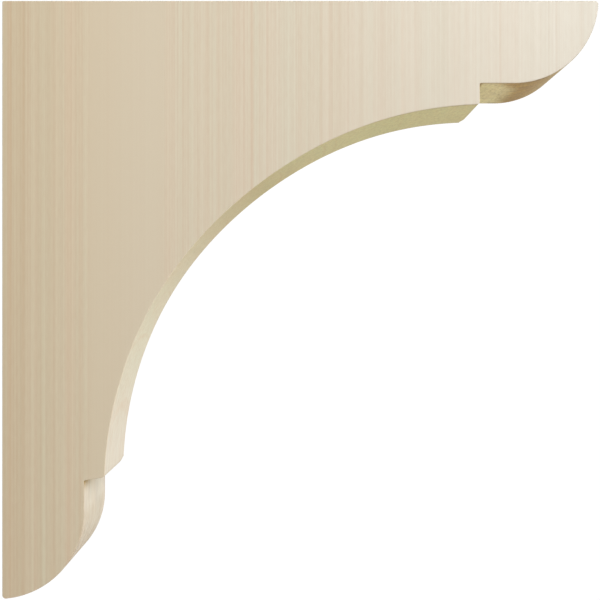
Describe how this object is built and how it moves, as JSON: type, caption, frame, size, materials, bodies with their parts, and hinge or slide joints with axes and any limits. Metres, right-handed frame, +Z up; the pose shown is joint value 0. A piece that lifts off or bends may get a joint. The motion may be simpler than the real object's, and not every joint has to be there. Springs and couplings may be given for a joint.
{
  "type": "corbel bracket",
  "caption": "Solid wooden corbel bracket with a hollow sweep between stepped, quarter-round ends, fixed by its flat back to carry a shelf, beam or eave on its flat top.",
  "frame": {"origin": "middle of the flat back face that lies against the wall", "axes": "+X straight out from the wall, +Z up, +Y through the thickness, with the pictured face towards -Y"},
  "size_m": [0.6084, 0.0888, 0.6102],
  "materials": {
    "wood": "pale straight-grained softwood, sanded smooth and left bare"
  },
  "bodies": {
    "root": {"corbel_bracket": "wood"}
  },
  "joints": []
}
